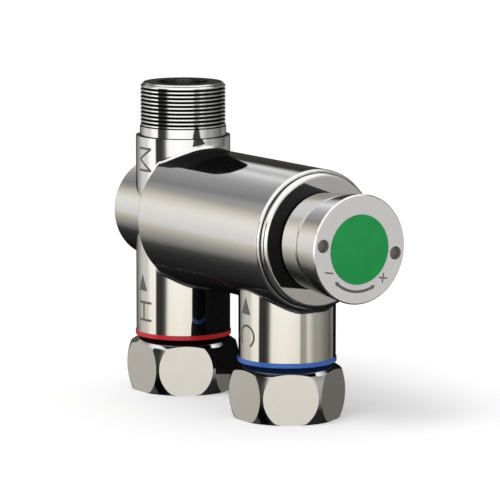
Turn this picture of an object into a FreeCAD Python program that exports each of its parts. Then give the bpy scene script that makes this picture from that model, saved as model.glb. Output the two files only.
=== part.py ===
import FreeCAD, Part
import math
import os
from FreeCAD import Vector

# A thermostatic mixing valve for pipes of three quarters of an inch, standing on its union nuts.
# Hot water enters the left tube, cold water the right one, and the mix leaves at the top.
# Lengths are in millimetres. The origin is the mouth of the hot union nut, and +Z is up.
# The barrel lies along +X, and the knob at its end sets the temperature.

os.makedirs("parts", exist_ok=True)

# Main places, measured from the barrel's axis and from the hot inlet's axis
inlet_spacing = 57.4
inlet_drop = 36.9
shoulder_stand = 3.0

# Cast body
barrel_radius = 21.3
barrel_start = 6.8
barrel_reach = 15.2
boss_radius = 15.6
boss_reach = 15.85
tube_radius = 14.7
casting_round = 0.6
mouth_round = 0.8
tube_fillet = 1.5

# Outlet thread and its neck
thread_crest = 13.22
thread_depth = 0.75
thread_pitch = 1.2
thread_length = 13.65
crest_flat = 0.42
neck_radius = 13.45
neck_length = 2.85
tip_bevel = 1.0
outlet_bore = 8.0

# Water ways inside the casting
barrel_bore = 13.0
bore_floor = 10.0
chamber_depth = 4.5
hot_chamber_start = 14.0
hot_chamber_width = 8.0
hot_seat_inset = 1.6
cold_chamber_width = 24.0
hot_passage = 7.0
cold_passage = 5.5
passage_rise = 3.0
link_height = 3.0
link_half_width = 6.0
link_wall = 2.3
bonnet_thread = 16.5
bonnet_seat_depth = 8.4

# Union nuts, G 3/4
nut_flats = 31.0
nut_height = 16.9
nut_belly = 17.6
nut_belly_height = 8.0
nut_belly_round = 20.7
nut_foot_chamfer = 0.4
nut_cone_height = 2.2
nut_cone_top = 13.3
nut_thread_radius = 12.1
nut_relief = 0.3
nut_shoulder_height = 3.3
nut_swivel_gap = 0.3
nut_float = 0.2

# Marker rings between the nuts and the tubes
ring_height = 1.45
ring_proud = 0.25
ring_gap = 0.25
ring_round = 0.2

# Flanged tailpieces that carry the nuts
tail_thread = 10.3
tail_thread_depth = 12.0
tail_flange_radius = 11.6
tail_flange_height = 2.0
tail_bore = 8.6
tail_lip_bore = 7.0
tail_lip_height = 4.6

# Gaskets and strainers under the tailpieces
gasket_inner = 8.3
gasket_height = 2.0
mesh_sheet = 0.4
mesh_cup_radius = 7.9
mesh_cup_height = 3.6
mesh_hole = 0.7
mesh_holes_round = 12
mesh_rows = 2
mesh_rings = 2
mesh_ring_step = 2.7

# Check valve cartridges in the tailpieces
check_bore = 6.6
check_seat_bore = 4.2
check_seat_height = 1.5
check_hub_height = 2.0
check_hub_radius = 2.4
check_arm_width = 1.6
check_seal_wire = 0.68
poppet_radius = 5.3
poppet_height = 1.3
poppet_stem = 1.2
poppet_stem_short = 0.75
poppet_lift = 3.0
check_spring_radius = 3.7
check_spring_wire = 0.25
check_spring_turns = 5

# Cartridge sleeve
sleeve_bore = 10.1
sleeve_wide_bore = 10.6
sleeve_neck_bore = 9.0
hot_window_width = 3.4
cold_window_width = 4.2
outlet_window_width = 10.0
window_count = 6
window_span = 7.0
sleeve_seal_wire = 0.57
sleeve_floor = 2.5

# Shuttle and what it carries
shuttle_wall = 1.6
shuttle_web = 4.0
shuttle_stroke = 3.0
stop_gap = 0.3
shuttle_port = 1.1
shuttle_ports = 6
shuttle_seal_wire = 0.8
cold_seat_offset = 16.2
cold_seat_width = 2.2
cold_seat_bore = 8.0
wax_bulb_radius = 4.0
wax_bulb_length = 18.0
wax_flange_radius = 5.8
wax_flange_width = 3.2
wax_stem_radius = 3.2
wax_stem_length = 11.0
wax_bulb_round = 1.2
wax_bore_depth = 14.5
wax_pin_radius = 1.6
wax_pin_entry = 7.0
wax_pin_head = 2.8
wax_pin_head_width = 1.0
return_spring_radius = 7.2
return_spring_wire = 0.45
return_spring_turns = 7

# Regulating nut with its overload spring
regulator_gap = 3.1
regulator_wall = 2.0
regulator_web = 3.0
regulator_travel = 1.2
key_width = 3.0
key_height = 0.9
key_side_gap = 0.3
key_top_gap = 0.2
thrust_cup_width = 2.0
overload_travel = 1.8
overload_spring_radius = 6.2
overload_spring_wire = 0.5
overload_spring_turns = 3
snap_ring_width = 0.9
snap_ring_radial = 1.7
snap_ring_groove = 0.5
snap_ring_opening = 50.0

# Spindle
spindle_thread = 4.0
spindle_collar = 7.0
spindle_collar_width = 2.3
spindle_journal = 5.0
spindle_square = 3.2
spindle_seal_wire = 0.55
circlip_width = 0.8
circlip_radial = 1.8
circlip_groove = 0.5
circlip_opening = 60.0
circlip_gap = 0.2

# Bonnet
flange_radius = 20.4
flange_width = 2.6
flange_bevel = 0.3
flange_round = 1.35
bonnet_neck_radius = 9.0
bonnet_neck_length = 4.8
bonnet_seal_wire = 0.9
stop_width = 5.0
stop_height = 2.6
stop_length = 2.4

# Temperature knob, its screw and its cap
knob_gap = 0.5
knob_length = 19.0
knob_root_radius = 14.6
knob_face_radius = 16.3
knob_bevel = 0.4
knob_cavity = 12.2
knob_cavity_depth = 12.3
knob_hub_radius = 6.8
knob_hub_gap = 0.6
knob_turned = -9.0
key_hole_radius = 2.0
key_hole_circle = 13.1
key_hole_depth = 2.0
cap_radius = 10.3
cap_recess_depth = 2.8
cap_proud = 0.15
cap_crown = 0.35
cap_wall = 1.1
screw_radius = 1.9
screw_head_radius = 3.4
screw_head_height = 1.6
screw_length = 7.0
screw_socket = 1.5
screw_socket_depth = 1.0
screw_hole_gap = 0.2

# Small rounds and clearances
edge_round = 0.3
running_gap = 0.05
seal_gap = 0.03
sliding_gap = 0.08
groove_ease = 0.1

# Heights worked out from the sizes above
ring_bottom = nut_height + ring_gap
tube_foot = ring_bottom + ring_height
axis_height = tube_foot + inlet_drop
shoulder_height = axis_height + barrel_radius + shoulder_stand
thread_foot = shoulder_height + neck_length
outlet_tip = thread_foot + thread_length
tail_top = tube_foot + tail_thread_depth
tail_flange_top = nut_height - nut_shoulder_height - nut_float
tail_foot = tail_flange_top - tail_flange_height
gasket_foot = tail_foot - mesh_sheet - gasket_height
check_top = tail_top - tail_lip_height
check_spring_shut = 2 * check_spring_wire * (check_spring_turns + 1)
check_height = check_seat_height + poppet_height + poppet_lift + check_spring_shut + check_hub_height
check_foot = check_top - check_height
poppet_foot = check_foot + check_seat_height + running_gap
spider_foot = check_top - check_hub_height

# Stations along the barrel worked out from the sizes above
barrel_end = inlet_spacing + barrel_reach
bonnet_foot = barrel_end - bonnet_seat_depth
hot_chamber_end = hot_chamber_start + hot_chamber_width
cold_chamber_end = bonnet_foot - bonnet_seat_depth / 2
cold_chamber_start = cold_chamber_end - cold_chamber_width
chamber_radius = barrel_bore + chamber_depth
sleeve_radius = barrel_bore - running_gap
hot_seat = hot_chamber_start + hot_seat_inset
cold_seat = inlet_spacing - cold_seat_offset
shuttle_left = hot_seat + stop_gap + shuttle_stroke
shuttle_right = cold_seat - stop_gap
shuttle_radius = sleeve_bore - running_gap
web_left = (shuttle_left + shuttle_right - shuttle_web) / 2
web_right = web_left + shuttle_web
regulator_left = cold_seat + cold_seat_width + regulator_gap
overload_shut = 2 * overload_spring_wire * (overload_spring_turns + 1)
regulator_depth = 2 * snap_ring_width + thrust_cup_width + overload_travel + overload_shut
regulator_right = regulator_left + regulator_depth + regulator_web
regulator_radius = sleeve_wide_bore - running_gap
thrust_cup_left = regulator_left + 2 * snap_ring_width
regulator_floor = regulator_right - regulator_web
bonnet_face = barrel_end + flange_width
bonnet_tip = bonnet_face + bonnet_neck_length
spindle_tip = thrust_cup_left + thrust_cup_width + regulator_travel + overload_travel + stop_gap
collar_right = bonnet_foot - stop_gap
collar_left = collar_right - spindle_collar_width
circlip_left = bonnet_tip + circlip_gap
knob_back = bonnet_face + knob_gap
knob_front = knob_back + knob_length
hub_back = circlip_left + circlip_width + knob_hub_gap
cavity_floor = knob_back + knob_cavity_depth
recess_floor = knob_front - cap_recess_depth
spindle_end = cavity_floor - running_gap

X_AXIS = Vector(1, 0, 0)
Z_AXIS = Vector(0, 0, 1)


def on_barrel(x, radius):
    # A point of a profile that turns about the barrel's axis
    return Vector(x, 0, axis_height + radius)


def rounded_wire(corners, place):
    # Joins corners (u, v) or (u, v, round) with lines, and with tangent arcs at the rounds
    edges = []
    stops = []
    count = len(corners)
    for index, corner in enumerate(corners):
        here = Vector(corner[0], corner[1], 0)
        if len(corner) == 2:
            stops.append((here, None, here))
            continue
        before = corners[index - 1]
        after = corners[(index + 1) % count]
        back = (Vector(before[0], before[1], 0) - here).normalize()
        ahead = (Vector(after[0], after[1], 0) - here).normalize()
        half_angle = back.getAngle(ahead) / 2
        reach = corner[2] / math.tan(half_angle)
        bisector = (back + ahead).normalize()
        middle = here + bisector * (corner[2] / math.sin(half_angle) - corner[2])
        stops.append((here + back * reach, middle, here + ahead * reach))
    for index, (first, middle, last) in enumerate(stops):
        end = place(last.x, last.y)
        if middle is not None:
            arc = Part.Arc(place(first.x, first.y), place(middle.x, middle.y), end)
            edges.append(arc.toShape())
        following = stops[(index + 1) % count][0]
        if (following - last).Length > 1e-6:
            edges.append(Part.LineSegment(end, place(following.x, following.y)).toShape())
    return Part.Wire(edges)


def turned_x(corners):
    # A solid turned about the barrel's axis from corners (x, radius)
    face = Part.Face(rounded_wire(corners, on_barrel))
    return face.revolve(Vector(0, 0, axis_height), X_AXIS, 360)


def turned_z(corners, centre=0.0):
    # A solid turned about an upright axis at x = centre from corners (radius, z)
    face = Part.Face(rounded_wire(corners, lambda radius, z: Vector(centre + radius, 0, z)))
    return face.revolve(Vector(centre, 0, 0), Z_AXIS, 360)


def rod_x(radius, start, end, y=0.0, z=0.0):
    return Part.makeCylinder(radius, end - start, Vector(start, y, axis_height + z), X_AXIS)


def rod_z(radius, start, end, x=0.0, y=0.0):
    return Part.makeCylinder(radius, end - start, Vector(x, y, start), Z_AXIS)


def tube_x(outer, inner, start, end):
    return rod_x(outer, start, end).cut(rod_x(inner, start, end))


def tube_z(outer, inner, start, end, x=0.0):
    return rod_z(outer, start, end, x).cut(rod_z(inner, start, end, x))


def block(x_range, y_range, z_range):
    corner = Vector(x_range[0], y_range[0], z_range[0])
    size = [x_range[1] - x_range[0], y_range[1] - y_range[0], z_range[1] - z_range[0]]
    return Part.makeBox(size[0], size[1], size[2], corner)


def around_barrel(shape, angle):
    turned = shape.copy()
    turned.rotate(Vector(0, 0, axis_height), X_AXIS, angle)
    return turned


def around_upright(shape, angle, centre=0.0):
    turned = shape.copy()
    turned.rotate(Vector(centre, 0, 0), Z_AXIS, angle)
    return turned


def seal_x(ring_radius, wire, x):
    # An O-ring that lies round the barrel's axis
    return Part.makeTorus(ring_radius, wire, Vector(x, 0, axis_height), X_AXIS)


def seal_z(ring_radius, wire, z, centre):
    return Part.makeTorus(ring_radius, wire, Vector(centre, 0, z), Z_AXIS)


def coil_spring(radius, wire, turns, length):
    # An open spring that stands on z = 0 and ends at z = length
    rise = length - 2 * wire
    helix = Part.makeHelix(rise / turns, rise, radius)
    helix.translate(Vector(0, 0, wire))
    section = Part.Wire(Part.makeCircle(wire, Vector(radius, 0, wire), Vector(0, 1, 0)))
    return Part.Wire(helix).makePipeShell([section], True, True)


def spring_x(radius, wire, turns, start, end):
    spring = coil_spring(radius, wire, turns, end - start)
    spring.rotate(Vector(0, 0, 0), Vector(0, 1, 0), 90)
    spring.translate(Vector(start, 0, axis_height))
    return spring


def spring_z(radius, wire, turns, start, end, centre):
    spring = coil_spring(radius, wire, turns, end - start)
    spring.translate(Vector(centre, 0, start))
    return spring


def open_ring(outer, inner, start, end, opening):
    # A ring round the barrel's axis with a gap at its foot
    wedge_reach = outer * 2
    half = math.radians(opening / 2)
    side = wedge_reach * math.sin(half)
    down = wedge_reach * math.cos(half)
    corners = [Vector(start, 0, axis_height), Vector(start, -side, axis_height - down),
               Vector(start, side, axis_height - down), Vector(start, 0, axis_height)]
    wedge = Part.Face(Part.makePolygon(corners)).extrude(Vector(end - start, 0, 0))
    return tube_x(outer, inner, start, end).cut(wedge)


def outlet_thread_cut():
    # The turned grooves of the outlet thread, with flats left at the crests
    cut = None
    opening = thread_pitch - crest_flat
    beyond = neck_radius + 1
    for turn in range(int(thread_length / thread_pitch) + 1):
        groove = thread_foot + thread_pitch * turn
        flank = opening / 2 * (beyond - thread_crest + thread_depth) / thread_depth
        corners = [(thread_crest - thread_depth, groove), (beyond, groove + flank), (beyond, groove - flank)]
        if turn == 0:
            corners = [(thread_crest - thread_depth, groove), (beyond, groove + flank), (beyond, groove)]
        ring = turned_z(corners)
        cut = ring if cut is None else cut.fuse(ring)
    return cut


def outlet_neck():
    # The neck and the threaded stub that stand on the outlet tube's shoulder
    tip_radius = thread_crest - tip_bevel
    corners = [(0, shoulder_height - tube_fillet), (neck_radius, shoulder_height - tube_fillet),
               (neck_radius, thread_foot), (thread_crest, thread_foot), (thread_crest, outlet_tip - tip_bevel),
               (tip_radius, outlet_tip), (0, outlet_tip)]
    return turned_z(corners).cut(outlet_thread_cut())


def body_outside():
    # Barrel, boss and the three tubes, joined as one casting
    barrel = turned_x([(barrel_start, 0), (barrel_start, barrel_radius, casting_round),
                       (barrel_end, barrel_radius, mouth_round), (barrel_end, 0)])
    boss = turned_x([(-boss_reach, 0), (-boss_reach, boss_radius, casting_round),
                     (barrel_start + tube_fillet, boss_radius), (barrel_start + tube_fillet, 0)])
    main_tube = rod_z(tube_radius, tube_foot, shoulder_height)
    cold_tube = rod_z(tube_radius, tube_foot, axis_height, inlet_spacing)
    joined = barrel.fuse([main_tube, cold_tube]).removeSplitter()
    joined = joined.makeFillet(tube_fillet, tube_joins(joined))
    return joined.fuse([boss, outlet_neck()]).removeSplitter()


def tube_joins(joined):
    # The edges where an upright tube runs into the round side of the barrel
    joins = []
    for edge in joined.Edges:
        middle = edge.valueAt((edge.FirstParameter + edge.LastParameter) / 2)
        from_axis = math.hypot(middle.y, middle.z - axis_height)
        from_hot = math.hypot(middle.x, middle.y)
        from_cold = math.hypot(middle.x - inlet_spacing, middle.y)
        on_side = abs(from_axis - barrel_radius) < 0.05
        on_tube = abs(from_hot - tube_radius) < 0.05 or abs(from_cold - tube_radius) < 0.05
        if on_side and on_tube:
            joins.append(edge)
    return joins


def body_inside():
    # Every hollow of the casting: barrel bore, chambers, inlets, hot link and outlet
    barrel_hole = rod_x(barrel_bore, -bore_floor, bonnet_foot)
    bonnet_hole = rod_x(bonnet_thread, bonnet_foot, barrel_end)
    hot_chamber = rod_x(chamber_radius, hot_chamber_start, hot_chamber_end)
    cold_chamber = rod_x(chamber_radius, cold_chamber_start, cold_chamber_end)
    link_top = axis_height - barrel_bore - link_wall
    hot_link = block((0, hot_chamber_end), (-link_half_width, link_half_width),
                     (link_top - link_height, link_top))
    hot_way = rod_z(hot_passage, tail_top, link_top)
    cold_way = rod_z(cold_passage, tail_top, axis_height - chamber_radius + passage_rise, inlet_spacing)
    hot_thread = rod_z(tail_thread, tube_foot, tail_top)
    cold_thread = rod_z(tail_thread, tube_foot, tail_top, inlet_spacing)
    outlet_way = rod_z(outlet_bore, axis_height + barrel_bore / 2, outlet_tip)
    holes = [bonnet_hole, hot_chamber, cold_chamber, hot_link, hot_way, cold_way, hot_thread, cold_thread,
             outlet_way]
    return barrel_hole.fuse(holes)


def valve_body():
    return body_outside().cut(body_inside())


def marker_ring(centre):
    inner = tail_thread + running_gap
    outer = tube_radius + ring_proud
    return turned_z([(inner, ring_bottom), (outer, ring_bottom, ring_round), (outer, tube_foot, ring_round),
                     (inner, tube_foot)], centre)


def union_nut(centre):
    # A hexagon turned to a belly below and a cone above, bored for the thread and the swivel neck
    corner = nut_flats / math.sqrt(3)
    points = []
    for index in range(7):
        angle = math.radians(60 * index)
        points.append(Vector(centre + corner * math.cos(angle), corner * math.sin(angle), 0))
    hexagon = Part.Face(Part.makePolygon(points)).extrude(Vector(0, 0, nut_height))
    belly_middle = nut_belly - nut_belly_round

    def at(radius, z):
        return Vector(centre + radius, 0, z)

    def belly_at(z):
        return belly_middle + math.sqrt(nut_belly_round ** 2 - (z - nut_belly_height) ** 2)

    foot_radius = belly_at(nut_foot_chamfer)
    cone_foot = nut_height - nut_cone_height
    foot_edge = at(foot_radius, nut_foot_chamfer)
    cone_edge = at(belly_at(cone_foot), cone_foot)
    belly = Part.Arc(foot_edge, at(nut_belly, nut_belly_height), cone_edge).toShape()
    stops = [cone_edge, at(nut_cone_top, nut_height), at(0, nut_height), at(0, 0),
             at(foot_radius - nut_foot_chamfer, 0), foot_edge]
    lines = [Part.LineSegment(a, b).toShape() for a, b in zip(stops, stops[1:])]
    turning = Part.Face(Part.Wire([belly] + lines)).revolve(Vector(centre, 0, 0), Z_AXIS, 360)
    shoulder_foot = nut_height - nut_shoulder_height
    thread_hole = rod_z(nut_thread_radius, 0, gasket_foot, centre)
    relief = rod_z(nut_thread_radius + nut_relief, gasket_foot, shoulder_foot, centre)
    swivel_hole = rod_z(tail_thread + nut_swivel_gap, shoulder_foot, nut_height, centre)
    return hexagon.common(turning).cut(thread_hole.fuse([relief, swivel_hole]))


def tailpiece(centre):
    # Screwed into the tube from below; its flange holds the nut and its bore holds the check valve
    thread = tail_thread - running_gap
    return turned_z([(tail_bore, tail_foot), (tail_flange_radius, tail_foot),
                     (tail_flange_radius, tail_flange_top), (thread, tail_flange_top),
                     (thread, tail_top), (tail_lip_bore, tail_top),
                     (tail_lip_bore, check_top), (tail_bore, check_top)], centre)


def strainer(centre):
    # A pressed cup of perforated sheet whose rim lies between the gasket and the tailpiece
    top = tail_foot
    low = top - mesh_sheet
    cup_top = low + mesh_cup_height
    inner = mesh_cup_radius - mesh_sheet
    cup = turned_z([(inner, low), (tail_flange_radius, low), (tail_flange_radius, top),
                    (mesh_cup_radius, top), (mesh_cup_radius, cup_top), (0, cup_top),
                    (0, cup_top - mesh_sheet), (inner, cup_top - mesh_sheet)], centre)
    row_gap = (mesh_cup_height - mesh_sheet) / (mesh_rows + 0.5)
    for row in range(mesh_rows):
        start = Vector(centre, 0, low + row_gap * (row + 1))
        for index in range(mesh_holes_round):
            hole = Part.makeCylinder(mesh_hole, mesh_cup_radius + 1, start, X_AXIS)
            cup = cup.cut(around_upright(hole, 360 / mesh_holes_round * (index + row / 2), centre))
    for ring in range(mesh_rings + 1):
        count = max(1, 6 * ring)
        for index in range(count):
            hole = rod_z(mesh_hole, low, cup_top + 1, centre + mesh_ring_step * ring)
            cup = cup.cut(around_upright(hole, 360 / count * index, centre))
    return cup


def gasket(centre):
    return tube_z(tail_flange_radius, gasket_inner, gasket_foot, gasket_foot + gasket_height, centre)


def check_housing(centre):
    # A cartridge with a seat at its foot, a seal groove round it and a hub on three arms at its top
    outer = tail_bore - running_gap
    groove = outer - 2 * check_seal_wire
    seal_height = check_foot + check_height / 2
    groove_foot = seal_height - check_seal_wire - groove_ease
    groove_top = seal_height + check_seal_wire + groove_ease
    seat_top = check_foot + check_seat_height
    shell = turned_z([(check_seat_bore, check_foot), (outer, check_foot), (outer, groove_foot),
                      (groove, groove_foot), (groove, groove_top), (outer, groove_top), (outer, check_top),
                      (check_bore, check_top), (check_bore, seat_top), (check_seat_bore, seat_top)], centre)
    shapes = [rod_z(check_hub_radius, spider_foot, check_top, centre)]
    arm = block((centre, centre + (check_bore + groove) / 2), (-check_arm_width / 2, check_arm_width / 2),
                (spider_foot, check_top))
    for index in range(3):
        shapes.append(around_upright(arm, 120 * index + 30, centre))
    guide = rod_z(poppet_stem + sliding_gap, spider_foot, check_top, centre)
    return shell.fuse(shapes).cut(guide).removeSplitter()


def check_seal(centre):
    ring_radius = tail_bore - running_gap - check_seal_wire
    return seal_z(ring_radius, check_seal_wire - seal_gap, check_foot + check_height / 2, centre)


def poppet(centre):
    disc_top = poppet_foot + poppet_height
    stem_top = check_top - poppet_stem_short
    return turned_z([(0, poppet_foot), (poppet_radius, poppet_foot, edge_round), (poppet_radius, disc_top),
                     (poppet_stem, disc_top), (poppet_stem, stem_top), (0, stem_top)], centre)


def check_spring(centre):
    return spring_z(check_spring_radius, check_spring_wire, check_spring_turns,
                    poppet_foot + poppet_height, spider_foot, centre)


def sleeve_seal_places():
    # One seal each side of the hot chamber, and one between the cold chamber and the bonnet
    outlet_side = (outlet_window_width / 2 + hot_chamber_start) / 2
    between = (hot_chamber_end + cold_chamber_start) / 2
    bonnet_side = (cold_chamber_end + bonnet_foot) / 2
    return [outlet_side, between, bonnet_side]


def sleeve_windows(middle, width):
    cut = None
    for index in range(window_count):
        window = block((middle - width / 2, middle + width / 2), (-window_span / 2, window_span / 2),
                       (axis_height, axis_height + sleeve_radius + 1))
        window = around_barrel(window, 360 / window_count * index)
        cut = window if cut is None else cut.fuse(window)
    return cut


def cartridge_sleeve():
    # A liner with three rings of windows, three seal grooves and two slots for the regulator's keys
    left = -bore_floor
    floor = left + sleeve_floor
    profile = [(left, 0), (left, sleeve_radius), (bonnet_foot, sleeve_radius), (bonnet_foot, sleeve_wide_bore),
               (cold_seat, sleeve_wide_bore), (cold_seat, sleeve_bore), (hot_seat, sleeve_bore),
               (hot_seat, sleeve_neck_bore), (floor, sleeve_neck_bore), (floor, 0)]
    sleeve = turned_x(profile)
    for place in sleeve_seal_places():
        half = sleeve_seal_wire + groove_ease
        groove_floor = sleeve_radius - 2 * sleeve_seal_wire
        sleeve = sleeve.cut(tube_x(sleeve_radius + 1, groove_floor, place - half, place + half))
    sleeve = sleeve.cut(sleeve_windows(0, outlet_window_width))
    sleeve = sleeve.cut(sleeve_windows(hot_seat + hot_window_width / 2, hot_window_width))
    sleeve = sleeve.cut(sleeve_windows(cold_seat - cold_window_width / 2, cold_window_width))
    key_start = regulator_left - regulator_travel - stop_gap
    half_slot = key_width / 2 + key_side_gap
    slot = block((key_start, bonnet_foot), (-half_slot, half_slot),
                 (axis_height, axis_height + sleeve_wide_bore + key_height + key_top_gap))
    return sleeve.cut([slot, around_barrel(slot, 180)])


def sleeve_seal(place):
    return seal_x(sleeve_radius - sleeve_seal_wire, sleeve_seal_wire - seal_gap, place)


def shuttle():
    # A slide that closes the hot side at its left end and the cold side at its right end
    inner = shuttle_radius - shuttle_wall
    body = turned_x([(shuttle_left, inner), (shuttle_left, shuttle_radius), (shuttle_right, shuttle_radius),
                     (shuttle_right, inner), (web_right, inner), (web_right, wax_stem_radius + running_gap),
                     (web_left, wax_stem_radius + running_gap), (web_left, inner)])
    middle = (web_left + web_right) / 2
    half = shuttle_seal_wire + groove_ease
    groove = tube_x(shuttle_radius + 1, shuttle_radius - 2 * shuttle_seal_wire, middle - half, middle + half)
    port_circle = (inner + wax_flange_radius) / 2
    ports = []
    for index in range(shuttle_ports):
        port = rod_x(shuttle_port, web_left - 1, web_right + 1, 0, port_circle)
        ports.append(around_barrel(port, 360 / shuttle_ports * index))
    return body.cut([groove] + ports)


def shuttle_seal():
    return seal_x(shuttle_radius - shuttle_seal_wire, shuttle_seal_wire - seal_gap, (web_left + web_right) / 2)


def wax_element():
    # A copper bulb with a flange and a stem, bored from the right for its pin
    flange_left = web_left - wax_flange_width
    bulb_left = flange_left - wax_bulb_length
    stem_right = web_right + wax_stem_length
    bore = wax_pin_radius + sliding_gap
    floor = stem_right - wax_bore_depth
    return turned_x([(bulb_left, 0), (bulb_left, wax_bulb_radius, wax_bulb_round),
                     (flange_left, wax_bulb_radius), (flange_left, wax_flange_radius),
                     (web_left, wax_flange_radius), (web_left, wax_stem_radius),
                     (stem_right, wax_stem_radius, edge_round), (stem_right, bore), (floor, bore), (floor, 0)])


def return_spring():
    floor = -bore_floor + sleeve_floor
    return spring_x(return_spring_radius, return_spring_wire, return_spring_turns, floor, web_left)


def cold_seat_ring():
    return turned_x([(cold_seat, cold_seat_bore), (cold_seat, sleeve_wide_bore - running_gap),
                     (cold_seat + cold_seat_width, sleeve_wide_bore - running_gap),
                     (cold_seat + cold_seat_width, cold_seat_bore)])


def regulating_nut():
    # A cup that slides on two keys; the spindle's thread drives its web
    inner = regulator_radius - regulator_wall
    cup = turned_x([(regulator_left, inner), (regulator_left, regulator_radius), (regulator_right, regulator_radius),
                    (regulator_right, spindle_thread), (regulator_floor, spindle_thread), (regulator_floor, inner)])
    key = block((regulator_left, regulator_right), (-key_width / 2, key_width / 2),
                (axis_height + regulator_radius - 1, axis_height + sleeve_wide_bore + key_height))
    cup = cup.fuse([key, around_barrel(key, 180)])
    groove_left = regulator_left + snap_ring_width / 2
    return cup.cut(rod_x(inner + snap_ring_groove, groove_left, groove_left + snap_ring_width))


def snap_ring():
    outer = regulator_radius - regulator_wall + snap_ring_groove - running_gap
    start = regulator_left + snap_ring_width / 2 + seal_gap
    end = start + snap_ring_width - 2 * seal_gap
    return open_ring(outer, outer - snap_ring_radial, start, end, snap_ring_opening)


def thrust_cup():
    # A shallow cup that the wax pin pushes, held against the snap ring by the overload spring
    outer = regulator_radius - regulator_wall - sliding_gap
    right = thrust_cup_left + thrust_cup_width
    pin = wax_pin_radius + running_gap
    return turned_x([(thrust_cup_left, pin), (thrust_cup_left, outer), (right, outer), (right, pin)])


def wax_pin():
    # The hardened pin that the expanding wax drives against the thrust cup
    right = thrust_cup_left + thrust_cup_width
    left = web_right + wax_stem_length - wax_pin_entry
    head_left = thrust_cup_left - wax_pin_head_width
    return turned_x([(left, 0), (left, wax_pin_radius), (head_left, wax_pin_radius), (head_left, wax_pin_head),
                     (thrust_cup_left, wax_pin_head), (thrust_cup_left, wax_pin_radius),
                     (right, wax_pin_radius), (right, 0)])


def overload_spring():
    return spring_x(overload_spring_radius, overload_spring_wire, overload_spring_turns,
                    thrust_cup_left + thrust_cup_width, regulator_floor)


def spindle_seal_place():
    return (bonnet_foot + barrel_end) / 2


def spindle():
    # Threaded tip, thrust collar, sealed journal, circlip groove, square and screw hole
    thread = spindle_thread - sliding_gap
    journal = spindle_journal - running_gap
    seal_half = spindle_seal_wire + groove_ease
    seal_place = spindle_seal_place()
    seal_groove = journal - 2 * spindle_seal_wire
    clip_groove = journal - circlip_groove
    clip_right = circlip_left + circlip_width
    shaft = turned_x([(spindle_tip, 0), (spindle_tip, thread, edge_round), (collar_left, thread),
                      (collar_left, spindle_collar), (collar_right, spindle_collar), (collar_right, journal),
                      (seal_place - seal_half, journal), (seal_place - seal_half, seal_groove),
                      (seal_place + seal_half, seal_groove), (seal_place + seal_half, journal),
                      (circlip_left, journal), (circlip_left, clip_groove), (clip_right, clip_groove),
                      (clip_right, journal), (hub_back, journal), (hub_back, 0)])
    square = block((hub_back, spindle_end), (-spindle_square, spindle_square),
                   (axis_height - spindle_square, axis_height + spindle_square))
    square = around_barrel(square, knob_turned)
    return shaft.fuse(square).cut(rod_x(screw_radius, recess_floor - screw_length - 1, spindle_end))


def spindle_seal():
    journal = spindle_journal - running_gap
    return seal_x(journal - spindle_seal_wire, spindle_seal_wire - seal_gap, spindle_seal_place())


def circlip():
    inner = spindle_journal - circlip_groove
    start = circlip_left + seal_gap
    ring = open_ring(inner + circlip_radial, inner, start, start + circlip_width - 2 * seal_gap, circlip_opening)
    return around_barrel(ring, knob_turned)


def bonnet():
    # The chromed plug that closes the barrel, with the bright flange that shows behind the knob
    thread = bonnet_thread - running_gap
    seal_place = bonnet_foot + 2 * bonnet_seal_wire
    seal_half = bonnet_seal_wire + groove_ease
    groove = thread - 2 * bonnet_seal_wire
    shell = turned_x([(bonnet_foot, spindle_journal), (bonnet_foot, thread), (seal_place - seal_half, thread),
                      (seal_place - seal_half, groove), (seal_place + seal_half, groove),
                      (seal_place + seal_half, thread), (barrel_end, thread),
                      (barrel_end, flange_radius - flange_bevel), (barrel_end + flange_bevel, flange_radius),
                      (bonnet_face, flange_radius, flange_round), (bonnet_face, bonnet_neck_radius),
                      (bonnet_tip, bonnet_neck_radius, edge_round), (bonnet_tip, spindle_journal)])
    stop = block((bonnet_face, bonnet_face + stop_length), (-stop_width / 2, stop_width / 2),
                 (axis_height + bonnet_neck_radius - 1, axis_height + bonnet_neck_radius + stop_height))
    return shell.fuse(around_barrel(stop, knob_turned)).removeSplitter()


def bonnet_seal():
    thread = bonnet_thread - running_gap
    return seal_x(thread - bonnet_seal_wire, bonnet_seal_wire - seal_gap, bonnet_foot + 2 * bonnet_seal_wire)


def temperature_knob():
    # A slightly conical cup with a square hub, a recess for the cap and two blind holes for a pin key
    screw_hole = screw_radius + screw_hole_gap
    outside = turned_x([(knob_back, knob_cavity), (knob_back, knob_root_radius, edge_round),
                        (knob_front - knob_bevel, knob_face_radius), (knob_front, knob_face_radius - knob_bevel),
                        (knob_front, cap_radius + running_gap), (recess_floor, cap_radius + running_gap),
                        (recess_floor, screw_hole), (cavity_floor, screw_hole), (cavity_floor, knob_cavity)])
    hub_front = (cavity_floor + recess_floor) / 2
    hub = tube_x(knob_hub_radius, screw_hole, hub_back, hub_front)
    half = spindle_square + running_gap
    square = block((hub_back, cavity_floor), (-half, half), (axis_height - half, axis_height + half))
    square = around_barrel(square, knob_turned)
    stop_low = axis_height - (knob_cavity + knob_root_radius) / 2
    stop_top = axis_height - bonnet_neck_radius - stop_gap
    stop = block((knob_back, knob_back + stop_length), (-stop_width / 2, stop_width / 2), (stop_low, stop_top))
    stop = around_barrel(stop, knob_turned)
    knob = outside.fuse([hub, stop]).cut(square)
    for side in (-1, 1):
        hole = rod_x(key_hole_radius, knob_front - key_hole_depth, knob_front + 1, side * key_hole_circle)
        knob = knob.cut(around_barrel(hole, knob_turned))
    return knob.removeSplitter()


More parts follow.
